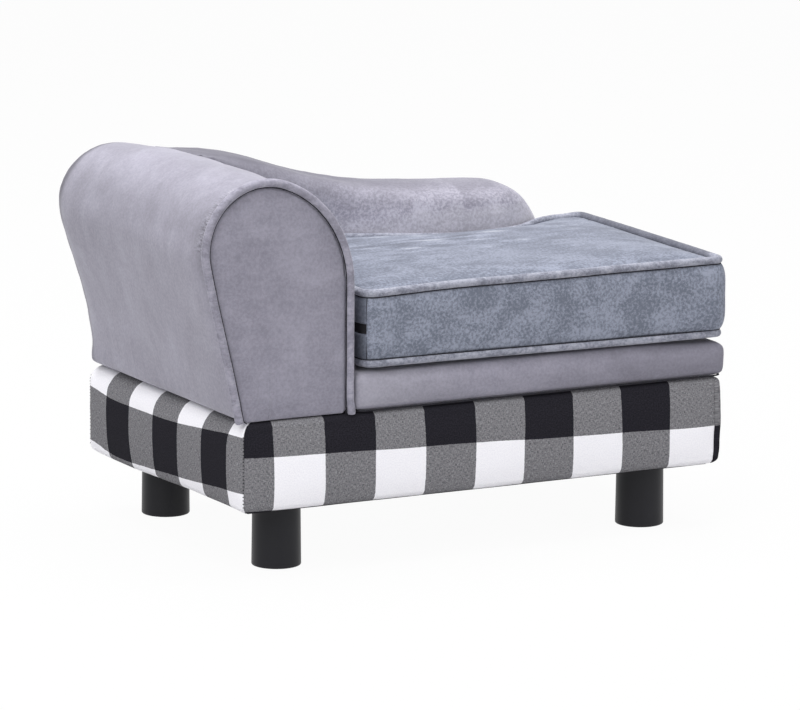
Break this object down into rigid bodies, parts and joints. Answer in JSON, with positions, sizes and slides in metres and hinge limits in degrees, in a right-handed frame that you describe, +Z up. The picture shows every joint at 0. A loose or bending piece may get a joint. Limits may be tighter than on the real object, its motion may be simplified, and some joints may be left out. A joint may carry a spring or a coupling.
{
  "type": "dog sofa bed",
  "caption": "Small upholstered pet sofa with one rolled arm, a wave-topped back, a loose piped seat cushion with a zip, a plaid-covered base and round legs.",
  "frame": {"origin": "on the floor, under the middle of the overall box", "axes": "+Z up, +X along the seat from the arm to the open end, -Y out of the front of the seat, +Y to the back"},
  "size_m": [0.6061, 0.3701, 0.407],
  "materials": {
    "plaid_cotton": "woven, matt, black, white and mid-grey squares",
    "sofa_plush": "short-pile plush, grey",
    "seat_plush": "short-pile plush, bluish grey",
    "piping_plush": "plush-covered cord, grey",
    "black_nonwoven": "thin non-woven, black",
    "polyester_wadding": "soft wadding, white",
    "upholstery_foam": "open-cell foam, pale yellow",
    "plywood": "raw plywood",
    "leg_plastic": "satin black",
    "zip_polyester": "woven tape, black",
    "zip_nylon": "nylon, black",
    "zip_metal": "black enamel",
    "zinc_steel": "zinc-plated"
  },
  "bodies": {
    "sofa": {"base_front_rail": "plywood", "base_rear_rail": "plywood", "base_left_rail": "plywood", "base_right_rail": "plywood", "base_bottom_panel": "plywood", "base_top_panel": "plywood", "base_corner_blocks": "plywood", "deck_board": "plywood", "arm_front_board": "plywood", "arm_rear_board": "plywood", "arm_battens": "plywood", "back_board": "plywood", "back_batten": "plywood", "base_rail_screws": "zinc_steel", "leg_studs": "zinc_steel", "leg_tee_nuts": "zinc_steel", "assembly_bolts": "zinc_steel", "assembly_washers": "zinc_steel", "threaded_inserts": "zinc_steel", "cover_staples": "zinc_steel", "base_padding": "polyester_wadding", "plaid_front_panel": "plaid_cotton", "plaid_right_panel": "plaid_cotton", "plaid_rear_panel": "plaid_cotton", "plaid_left_panel": "plaid_cotton", "base_dust_cover": "black_nonwoven", "front_left_leg": "leg_plastic", "front_right_leg": "leg_plastic", "rear_left_leg": "leg_plastic", "rear_right_leg": "leg_plastic", "deck_cover": "sofa_plush", "arm_wrap_cover": "sofa_plush", "arm_front_facing": "sofa_plush", "arm_rear_panel": "sofa_plush", "back_front_cover": "sofa_plush", "back_rear_cover": "sofa_plush", "deck_foam": "upholstery_foam", "arm_foam": "upholstery_foam", "back_foam": "upholstery_foam", "arm_piping": "piping_plush"},
    "seat_cushion": {"cushion_core": "upholstery_foam", "cushion_top_panel": "seat_plush", "cushion_bottom_panel": "seat_plush", "cushion_boxing": "seat_plush", "cushion_zip_boxing": "seat_plush", "cushion_top_piping": "piping_plush", "cushion_bottom_piping": "piping_plush", "zip_tape": "zip_polyester", "zip_coils": "zip_nylon", "zip_stops": "zip_metal"},
    "zip_slider_body": {"zip_slider": "zip_metal"},
    "zip_pull_body": {"zip_pull": "zip_metal"}
  },
  "joints": [
    {"name": "cushion_lift", "type": "slide", "parent": "sofa", "child": "seat_cushion", "axis": [0, 0, 1], "range_m": [0, 0.22]},
    {"name": "zip_slide", "type": "slide", "parent": "seat_cushion", "child": "zip_slider_body", "axis": [0, -1, 0], "range_m": [0, 0.2275]},
    {"name": "zip_pull_hinge", "type": "hinge", "parent": "zip_slider_body", "child": "zip_pull_body", "pos_m": [-0.12625, 0.082, 0.24545], "axis": [0, 0, 1], "range_deg": [0, 170]}
  ]
}
